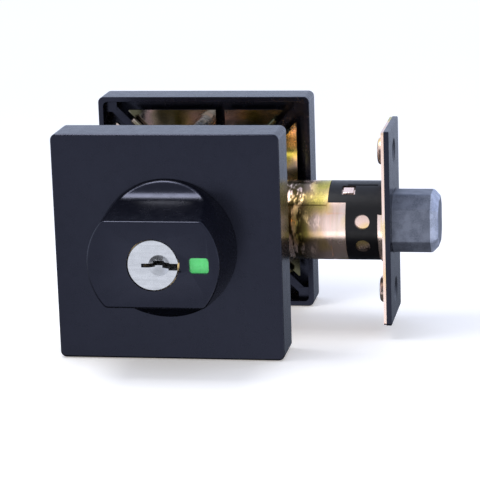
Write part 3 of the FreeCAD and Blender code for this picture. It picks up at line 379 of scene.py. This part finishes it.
finishes = {
    "satin_black": satin_black(),
    "black_plastic": black_plastic(),
    "yellow_zinc": yellow_zinc("yellow_passivated_zinc"),
    # The tube's finish, with a painted reflection of the front rose near its left end.
    "zinc_with_painted_reflection": yellow_zinc("passivated_tube_painted_reflection", True),
    "bolt_steel": bolt_steel("satin_grey_bolt_steel", 1.0),
    "satin_nickel": brushed(
        "satin_nickel", (0.66, 0.67, 0.69), (0.55, 0.56, 0.58), 0.27, (0.06, 1, 1), 0.9),
    "brass": brushed("turned_brass", (0.78, 0.58, 0.28), (0.62, 0.45, 0.20), 0.28),
    "steel": brushed("bright_zinc_steel", (0.62, 0.63, 0.65), (0.50, 0.51, 0.53), 0.28),
    "hardened_steel": brushed("hardened_steel", (0.30, 0.30, 0.32), (0.22, 0.22, 0.24), 0.35),
    "spring_steel": brushed("spring_steel", (0.50, 0.50, 0.52), (0.38, 0.38, 0.40), 0.24),
    "hub_zinc": brushed("die_cast_zinc", (0.46, 0.46, 0.47), (0.36, 0.36, 0.37), 0.45, (1, 1, 1)),
    "window_clear": clear_plastic(),
    "signal_green": signal_paint("green_enamel", (0.10, 0.80, 0.20)),
    "signal_red": signal_paint("red_enamel", (0.72, 0.04, 0.03)),
}
finishes["black_brass"] = finishes["satin_black"]
finishes["mirror_zinc"] = mirror_zinc()
# A copy 2.6 times brighter: a painted highlight for the bolt's ridges and nose bevel.
finishes["bolt_ridges"] = bolt_steel("rubbed_bolt_ridges", 2.6)


# ---- shaping ----

def span(node):
    """A CAD node's low and high corners, in millimetres."""
    return [corner * PER_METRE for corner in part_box(node)]


def slab(low, high):
    """A block between two corners."""
    low, high = Vector(low), Vector(high)
    bm = bmesh.new()
    bmesh.ops.create_cube(bm, size=1)
    bmesh.ops.scale(bm, vec=high - low, verts=bm.verts)
    bmesh.ops.translate(bm, vec=(low + high) / 2, verts=bm.verts)
    return bm


def spun(profile, axis, steps=96):
    """A closed profile of (along, radius) points, spun round an axis through the origin."""
    bm = bmesh.new()
    verts = [bm.verts.new(AXIS[axis] * along + OUTWARD[axis] * radius) for along, radius in profile]
    closed = max(profile[0][1], profile[-1][1]) > 0
    for first, second in zip(verts, verts[1:] + verts[:1] * closed):
        bm.edges.new((first, second))
    geometry = bm.verts[:] + bm.edges[:]
    bmesh.ops.spin(bm, geom=geometry, axis=AXIS[axis], angle=math.tau, steps=steps, use_merge=True)
    bmesh.ops.remove_doubles(bm, verts=bm.verts, dist=same_point)
    bmesh.ops.recalc_face_normals(bm, faces=bm.faces)
    return bm


def moved(bm, degrees=0, axis="y", shift=(0, 0, 0)):
    """The shape turned round an axis through the origin, then shifted."""
    turn = Matrix.Rotation(math.radians(degrees), 3, axis.upper())
    bmesh.ops.rotate(bm, cent=(0, 0, 0), matrix=turn, verts=bm.verts)
    bmesh.ops.translate(bm, vec=shift, verts=bm.verts)
    return bm


def drill(axis, radius, start, end, at=(0, 0, 0), steps=64):
    """A round bar that cuts a hole along an axis."""
    bar = spun([(start, 0), (start, radius), (end, radius), (end, 0)], axis, steps)
    return moved(bar, shift=at)


def rounded(bm, edges, width, segments):
    """Rounds edges, or cuts them off straight when there is one segment."""
    bmesh.ops.bevel(bm, geom=edges, offset=width, segments=segments, profile=0.5, affect="EDGES", material=-1)
    return bm


def edges_between(bm, test):
    """The edges whose two ends pass a test."""
    return [edge for edge in bm.edges if test(*[vert.co for vert in edge.verts])]


def edges_at(bm, axis, place):
    """The edges that lie at one place along an axis."""
    def is_there(point):
        return abs(point.dot(AXIS[axis]) - place) < on_the_spot

    return edges_between(bm, lambda a, b: is_there(a) and is_there(b))


def lengthwise(bm, axis):
    """The edges that run along an axis."""
    return edges_between(bm, lambda a, b: (a - b).cross(AXIS[axis]).length < 0.001)


def sharp_edges(bm, angle=SHARP_ANGLE):
    """The edges where two faces meet at more than an angle."""
    return [edge for edge in bm.edges if edge.is_manifold and edge.calc_face_angle(0) > angle]


def upright(low, high, corner, start, end, segments=8):
    """A square block with rounded upright corners, reaching from start to end along Y."""
    bm = slab((low[0], start, low[2]), (high[0], end, high[2]))
    return rounded(bm, lengthwise(bm, "y"), corner, segments)


def tube_section(start, end, edge):
    """A length of tube along X with lightly rounded rims."""
    bm = spun([(start, tube_radius), (end, tube_radius), (end, tube_bore), (start, tube_bore)], "x", 128)
    return rounded(bm, sharp_edges(bm), edge, 2)


def as_object(bm, name="tool"):
    """Puts a shape into the scene."""
    mesh = bpy.data.meshes.new(name)
    bm.to_mesh(mesh)
    bm.free()
    thing = bpy.data.objects.new(name, mesh)
    bpy.context.scene.collection.objects.link(thing)
    return thing


def combined(bm, tools, operation="DIFFERENCE"):
    """The shape after cutting away or joining the other shapes."""
    base = as_object(bm)
    others = [as_object(tool) for tool in tools]
    for other in others:
        step = base.modifiers.new("step", "BOOLEAN")
        step.operation = operation
        step.solver = "EXACT"
        step.object = other
    bpy.context.view_layer.update()
    evaluated = base.evaluated_get(bpy.context.evaluated_depsgraph_get())
    result = bmesh.new()
    result.from_mesh(evaluated.to_mesh())
    for thing in [base] + others:
        bpy.data.objects.remove(thing)
    return result


def piece(name, bm, node, finish=None, stands_for_node=True):
    """A finished piece that rides on a CAD node's body and, as a rule, stands for that node."""
    bmesh.ops.scale(bm, vec=(MM, MM, MM), verts=bm.verts)
    for face in bm.faces:
        face.smooth = True
    for edge in bm.edges:
        edge.smooth = edge.is_manifold and edge.calc_face_angle(0) < SHARP_ANGLE
    thing = as_object(bm, name)
    thing.data.materials.append(finish or finishes[slot_of_node[node]])
    even = thing.modifiers.new("even_normals", "WEIGHTED_NORMAL")
    even.keep_sharp = True
    even.weight = 100
    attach(thing, body_of_node[node])
    if stands_for_node:
        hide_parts(node)
    return thing


def merged(node):
    """A copy of a CAD node's shape as one joined skin, in millimetres."""
    bm = bmesh.new()
    bm.from_mesh(frame["nodes"][node].data)
    bmesh.ops.scale(bm, vec=(PER_METRE, PER_METRE, PER_METRE), verts=bm.verts)
    bmesh.ops.remove_doubles(bm, verts=bm.verts, dist=same_point)
    return bm


def joined_copy(node):
    """A CAD node's shape with large clean faces and smooth round stretches."""
    bm = merged(node)
    bmesh.ops.dissolve_limit(bm, angle_limit=CLEAN_ANGLE, verts=bm.verts, edges=bm.edges)
    return piece(node + "_finished", bm, node)


# ---- pieces ----

def rose_cup(node, mouth, wall, face, bore):
    """A square cup with rounded corners and a soft face. mouth is its open side along Y: -1 or 1."""
    low, high = span(node)
    front, lip = (low.y, high.y) if mouth > 0 else (high.y, low.y)
    blank = upright(low, high, rose_corner, low.y, high.y)
    rounded(blank, edges_at(blank, "y", front), rose_face_rounding, 5)
    inset = Vector((wall, 0, wall))
    ends = sorted((front + mouth * face, front + mouth * rose_hollow_reach))
    hollow = upright(low + inset, high - inset, rose_hollow_corner, *ends)
    hole = drill("y", bore, low.y - far_over, high.y + far_over, steps=128)
    cup = combined(blank, [hollow, hole])
    return rounded(cup, edges_at(cup, "y", lip), rose_lip_rounding, 2)


def interior_rose():
    """The room-side cup, with the grub screw's hole in its lower wall."""
    low, _ = span("interior_rose")
    cup = rose_cup("interior_rose", 1, interior_rose_wall, interior_rose_face, interior_rose_bore)
    grub_low, grub_high = span("rose_grub_screw")
    grub = (grub_low + grub_high) / 2
    hole = drill("z", grub_hole_radius, low.z - over, low.z + grub_hole_depth, (grub.x, grub.y, 0))
    piece("rose_cup_interior", combined(cup, [hole]), "interior_rose")


def exterior_rose():
    """The outer cup, with its cast corner posts and diagonal ribs."""
    foot = span("exterior_rose")[1].y - post_foot
    cup = rose_cup("exterior_rose", -1, exterior_rose_wall, exterior_rose_face, exterior_rose_bore)
    seat = span("exterior_mounting_plate")[0].y + plate_seat
    casting = []
    for quarter in range(4):
        post = upright((post_inner, 0, post_inner), (post_outer, 0, post_outer), post_corner,
                       seat - post_rise, foot, 4)
        rib = upright((rib_start, 0, -rib_half), (rib_end, 0, rib_half), rib_corner, seat - rib_rise, foot, 3)
        casting += [moved(post, 90 * quarter), moved(rib, 45 + 90 * quarter)]
    piece("rose_cup_exterior", combined(cup, casting, "UNION"), "exterior_rose")


def exterior_mounting_plate():
    """The stamped plate, with two beads beside each diagonal, level with the tips of its bolt collars."""
    bead_height = span("exterior_mounting_plate")[0].y + bead_setback
    profile = [
        (bead_start, 0),
        (bead_start + bead_inner_taper, bead_radius),
        (bead_end - bead_outer_taper, bead_radius),
        (bead_end, 0),
    ]
    beads = []
    for quarter in range(4):
        for side in (-1, 1):
            bead = moved(spun(profile, "x", 24), shift=(0, bead_height, side * bead_spacing))
            beads.append(moved(bead, 45 + 90 * quarter))
    plate = combined(merged("exterior_mounting_plate"), beads, "UNION")
    piece("mounting_plate_beaded", plate, "exterior_mounting_plate", finishes["mirror_zinc"])


def deadbolt():
    """The thrown bolt: chamfered corners, a bevelled nose and lightly rounded ridges, with a painted
    highlight on the ridges and the nose.
    """
    low, high = span("deadbolt")
    bar = slab(low, high)
    rounded(bar, lengthwise(bar, "x"), bolt_corner, 1)
    rounded(bar, edges_at(bar, "x", high.x), bolt_nose, 1)
    rounded(bar, sharp_edges(bar, math.radians(bolt_ridge_angle)), bolt_rounding, 3)
    # Ridge and nose faces take the second slot, the brighter steel: a painted highlight.
    for face in bar.faces:
        face.normal_update()
        is_ridge = face.calc_area() < bolt_ridge_area
        is_nose = 0.3 < face.normal.x < 0.95
        face.material_index = int(is_ridge or is_nose)
    tail_low, tail_high = span("bolt_tail")
    socket = slab((low.x - over, -bolt_socket_half, tail_low.z - bolt_socket_gap),
                  (tail_high.x + bolt_socket_gap, bolt_socket_half, high.z + over))
    bolt = piece("bolt_bar", combined(bar, [socket]), "deadbolt")
    # Second slot: the painted highlight on the ridges and the nose.
    bolt.data.materials.append(finishes["bolt_ridges"])


def latch_faceplate():
    """The black front plate: eased edges, two countersinks and the bolt's opening."""
    low, high = span("latch_faceplate")
    plate = slab(low, high)
    rounded(plate, lengthwise(plate, "x"), faceplate_corner, 6)
    rounded(plate, edges_at(plate, "x", high.x), faceplate_rim, 3)
    screw_hole = [
        (low.x - over, 0),
        (low.x - over, screw_hole_radius),
        (high.x - countersink_depth, screw_hole_radius),
        (high.x + 0.05, countersink_radius),
        (high.x + over, countersink_flare),
        (high.x + over, 0),
    ]
    heights = (-faceplate_screw_height, faceplate_screw_height)
    tools = [moved(spun(screw_hole, "x", 64), shift=(0, 0, height)) for height in heights]
    bolt_low, bolt_high = span("deadbolt")
    gap = Vector((0, bolt_opening_gap, bolt_opening_gap))
    opening = slab(Vector((low.x - over, bolt_low.y, bolt_low.z)) - gap,
                   Vector((high.x + over, bolt_high.y, bolt_high.z)) + gap)
    tools.append(rounded(opening, lengthwise(opening, "x"), bolt_opening_corner, 1))
    piece("faceplate", combined(plate, tools), "latch_faceplate")


def seam(start, end, bottom, top, inside):
    """A shallow line in the tube's skin, on its -Y side. inside is a depth well under the skin."""
    block = slab((start, -seam_outside, bottom), (end, -inside, top))
    return combined(block, [drill("x", seam_radius, 0, seam_core_length, steps=128)])


def latch_tube():
    """The rolled rear tube: a stepped front edge, two side holes, a lap line and a cut flap."""
    low, high = span("latch_outer_tube")
    collar = span("latch_collar")[0].x
    step_start = (collar - collar_gap, -beyond_tube, tube_step_height)
    tools = [slab(step_start, (high.x + over, beyond_tube, beyond_tube))]
    for ends in ((-beyond_tube, -wall_inside), (wall_inside, beyond_tube)):
        tools.append(drill("y", tube_side_hole, *ends, at=(tube_side_hole_place, 0, 0)))
    flap = high.x - flap_start
    slot = high.x - slot_start
    tools += [
        seam(low.x + seam_start, collar, lap_bottom, lap_top, seam_inside),
        seam(flap, high.x + over, flap_bottom, flap_bottom + flap_line, flap_inside),
        seam(flap, flap + flap_line, flap_bottom, flap_top, flap_inside),
        seam(slot, slot + slot_line, slot_bottom, slot_top, seam_inside),
    ]
    tube = combined(tube_section(low.x, high.x, tube_edge), tools)
    # The tube takes the finish with the painted reflection of the front rose.
    piece("latch_tube_rolled", tube, "latch_outer_tube", finishes["zinc_with_painted_reflection"])


def latch_collar():
    """The black collar: a stepped rear edge, a tongue, a slit, a square hole and two round ones."""
    low, high = span("latch_collar")
    front = high.x - collar_lip
    rear_lower = span("latch_outer_tube")[1].x + collar_gap
    slit = slab((front - slit_start, -slit_half, wall_inside), (front - slit_end, slit_half, beyond_tube))
    square = upright((-square_hole_half, 0, -square_hole_half), (square_hole_half, 0, square_hole_half),
                     square_hole_corner, -beyond_tube, -wall_inside, 3)
    tools = [
        slab((low.x - over, -beyond_tube, -beyond_tube), (rear_lower, beyond_tube, collar_rear_height)),
        slab((front, -beyond_tube, -beyond_tube), (high.x + over, beyond_tube, collar_lip_height)),
        moved(slit, slit_angle, "x"),
        moved(square, square_hole_angle, "x", (front - square_hole_setback, 0, 0)),
    ]
    for angle in round_hole_angles:
        place = (front - round_hole_setback, 0, 0)
        hole = drill("y", round_hole_radius, -beyond_tube, -wall_inside, place, 48)
        tools.append(moved(hole, -angle, "x"))
    collar = combined(tube_section(low.x, high.x, collar_edge), tools)
    piece("latch_collar_moulded", collar, "latch_collar")
    tab = slab(tab_low, tab_high)
    rounded(tab, sharp_edges(tab), tab_rounding, 2)
    tab = moved(tab, square_hole_angle, "x", (front - square_hole_setback, 0, 0))
    piece("latch_tube_tab", tab, "latch_inner_sleeve", stands_for_node=False)


def key_plug(side, inward):
    """A turned plug with a warded keyway in a dished mouth. inward is the way into the lock along Y."""
    node = side + "_key_plug"
    low, high = span(node)
    face, end = (low.y, high.y) if inward > 0 else (high.y, low.y)
    shoulder = end - inward * plug_tail
    plug = spun([
        (face, 0),
        (face, plug_rim_radius),
        (face + inward * plug_rim, plug_head_radius),
        (face + inward * plug_head, plug_head_radius),
        (face + inward * plug_head, plug_body_radius),
        (shoulder, plug_body_radius),
        (shoulder, plug_tail_radius),
        (end, plug_tail_radius),
        (end, 0),
    ], "y", 96)
    dish = spun([
        (face - inward * dish_over, 0),
        (face - inward * dish_over, dish_radius),
        (face + inward * dish_floor, dish_floor_radius),
        (face + inward * dish_depth, 0),
    ], "y", 64)
    tools = [moved(dish, shift=(dish_place, 0, 0))]
    mouth, bottom = sorted((face - inward * over, face + inward * keyway_depth))
    for left, right, lower, upper in keyway:
        tools.append(slab((left, mouth, lower), (right, bottom, upper)))
    piece("key_plug_" + side, combined(plug, tools), node)


# Nodes inside the lock that are shown as the frame has them.
CARRIED = """
interior_driver_pins interior_pin_springs interior_chamber_cover interior_key_pins interior_plug_clip
exterior_driver_pins exterior_pin_springs exterior_chamber_cover exterior_key_pins exterior_plug_clip
tail_cam_screw knob_assembly_screws anti_saw_pins bolt_tail_pin indicator_green_field indicator_red_field
""".split()
# Nodes that are drawn anew. All others are shown as joined copies.
MODELLED = {
    "interior_rose": interior_rose,
    "exterior_rose": exterior_rose,
    "exterior_mounting_plate": exterior_mounting_plate,
    "deadbolt": deadbolt,
    "interior_key_plug": lambda: key_plug("interior", 1),
    "exterior_key_plug": lambda: key_plug("exterior", -1),
    "latch_faceplate": latch_faceplate,
    "latch_outer_tube": latch_tube,
    "latch_collar": latch_collar,
}

for node in sorted(frame["nodes"]):
    thing = frame["nodes"][node]
    thing.data.materials.clear()
    thing.data.materials.append(finishes[slot_of_node[node]])
    if node in MODELLED:
        MODELLED[node]()
    elif node not in CARRIED:
        joined_copy(node)


# ---- studio, in metres and degrees ----

floor_half = 4
floor_gap = 0.0002
# Levels are (height, brightness): height 0 is straight down and 1 is straight up.
front_tint = (0.96, 1.0, 1.10)
front_levels = (
    (0.0, 0.03), (0.20, 0.06), (0.27, 0.45), (0.34, 1.05),
    (0.385, 1.12), (0.5, 1.0), (0.8, 0.70), (1.0, 0.70),
)
rear_tint = (0.85, 0.96, 1.24)
rear_levels = (
    (0.0, 0.03), (0.30, 0.05), (0.36, 0.18), (0.385, 0.34),
    (0.41, 0.62), (0.43, 0.88), (1.0, 0.92),
)
camera_azimuth, camera_elevation, camera_roll = 10.34, 13.53, -1.9
camera_distance = 0.6838
camera_aim = Vector((0.0142, 0, -0.0064))
camera_field = 11.855920


def backdrop():
    """A wide pale floor that the roses stand on."""
    bm = bmesh.new()
    bmesh.ops.create_grid(bm, x_segments=1, y_segments=1, size=floor_half)
    bmesh.ops.translate(bm, vec=(0, 0, cad_box[0][2] - floor_gap), verts=bm.verts)
    floor = as_object(bm, "floor")
    finish = Finish("pale_floor")
    finish.constants(Roughness=0.9, Emission_Color=(1.0, 0.93, 0.84, 1), Emission_Strength=0.3)
    cloud = finish.noise(0.002, 2)
    finish.colour(finish.ramp(cloud, [(0.3, (0.90, 0.90, 0.90)), (0.7, (0.93, 0.93, 0.93))]))
    floor.data.materials.append(finish.material)
    floor.visible_glossy = False


def sky():
    """Soft surroundings that change with height. Those in front fade into those behind."""
    world = bpy.data.worlds.new("studio")
    bpy.context.scene.world = world
    world.use_nodes = True
    nodes, links = world.node_tree.nodes, world.node_tree.links
    parts = nodes.new("ShaderNodeSeparateXYZ")
    links.new(nodes.new("ShaderNodeTexCoord").outputs["Generated"], parts.inputs["Vector"])
    height = nodes.new("ShaderNodeMapRange")
    height.inputs["From Min"].default_value = -1
    links.new(parts.outputs["Z"], height.inputs["Value"])
    depth = nodes.new("ShaderNodeMapRange")
    depth.inputs["From Min"].default_value = -0.5
    depth.inputs["From Max"].default_value = 0.4
    links.new(parts.outputs["Y"], depth.inputs["Value"])
    blend = nodes.new("ShaderNodeMix")
    blend.data_type = "RGBA"
    links.new(depth.outputs["Result"], blend.inputs[0])
    for socket, tint, levels in ((6, front_tint, front_levels), (7, rear_tint, rear_levels)):
        ramp = nodes.new("ShaderNodeValToRGB")
        set_stops(ramp, [(position, [part * level for part in tint]) for position, level in levels])
        links.new(height.outputs["Result"], ramp.inputs["Fac"])
        links.new(ramp.outputs["Color"], blend.inputs[socket])
    links.new(blend.outputs[2], nodes["Background"].inputs["Color"])


def softbox(name, place, size, power, target=(0, 0, 0)):
    """A rectangular light that the camera doesn't see, turned to its target."""
    light = bpy.data.lights.new(name, "AREA")
    light.shape = "RECTANGLE"
    light.size, light.size_y = size
    light.energy = power
    thing = bpy.data.objects.new(name, light)
    thing.location = place
    thing.rotation_euler = (Vector(target) - Vector(place)).to_track_quat("-Z", "Y").to_euler()
    thing.visible_camera = False
    bpy.context.scene.collection.objects.link(thing)


def camera():
    """A long lens, from a little to the right and above."""
    azimuth, elevation, roll = (
        math.radians(angle) for angle in (camera_azimuth, camera_elevation, camera_roll)
    )
    forward = Vector((
        -math.sin(azimuth) * math.cos(elevation),
        math.cos(azimuth) * math.cos(elevation),
        -math.sin(elevation),
    ))
    right = Vector((math.cos(azimuth), math.sin(azimuth), 0))
    up = right.cross(forward)
    side = right * math.cos(roll) + up * math.sin(roll)
    top = up * math.cos(roll) - right * math.sin(roll)
    lens = bpy.data.cameras.new("camera")
    lens.angle = math.radians(camera_field)
    lens.clip_start = 0.01
    thing = bpy.data.objects.new("camera", lens)
    turn = Matrix((side, top, -forward)).transposed().to_4x4()
    thing.matrix_world = Matrix.Translation(camera_aim - forward * camera_distance) @ turn
    bpy.context.scene.collection.objects.link(thing)
    bpy.context.scene.camera = thing


backdrop()
sky()
softbox("knob_softbox", (-0.040, -0.032, 0.175), (0.075, 0.085), 0.20, (-0.040, -0.0321, 0))
softbox("low_fill", (0.2, -0.8, -0.50), (0.7, 0.3), 1.2)
softbox("side_strip", (1.0, -0.2, -0.22), (0.2, 0.5), 0.6)
camera()
bpy.context.scene.view_settings.view_transform = "Standard"
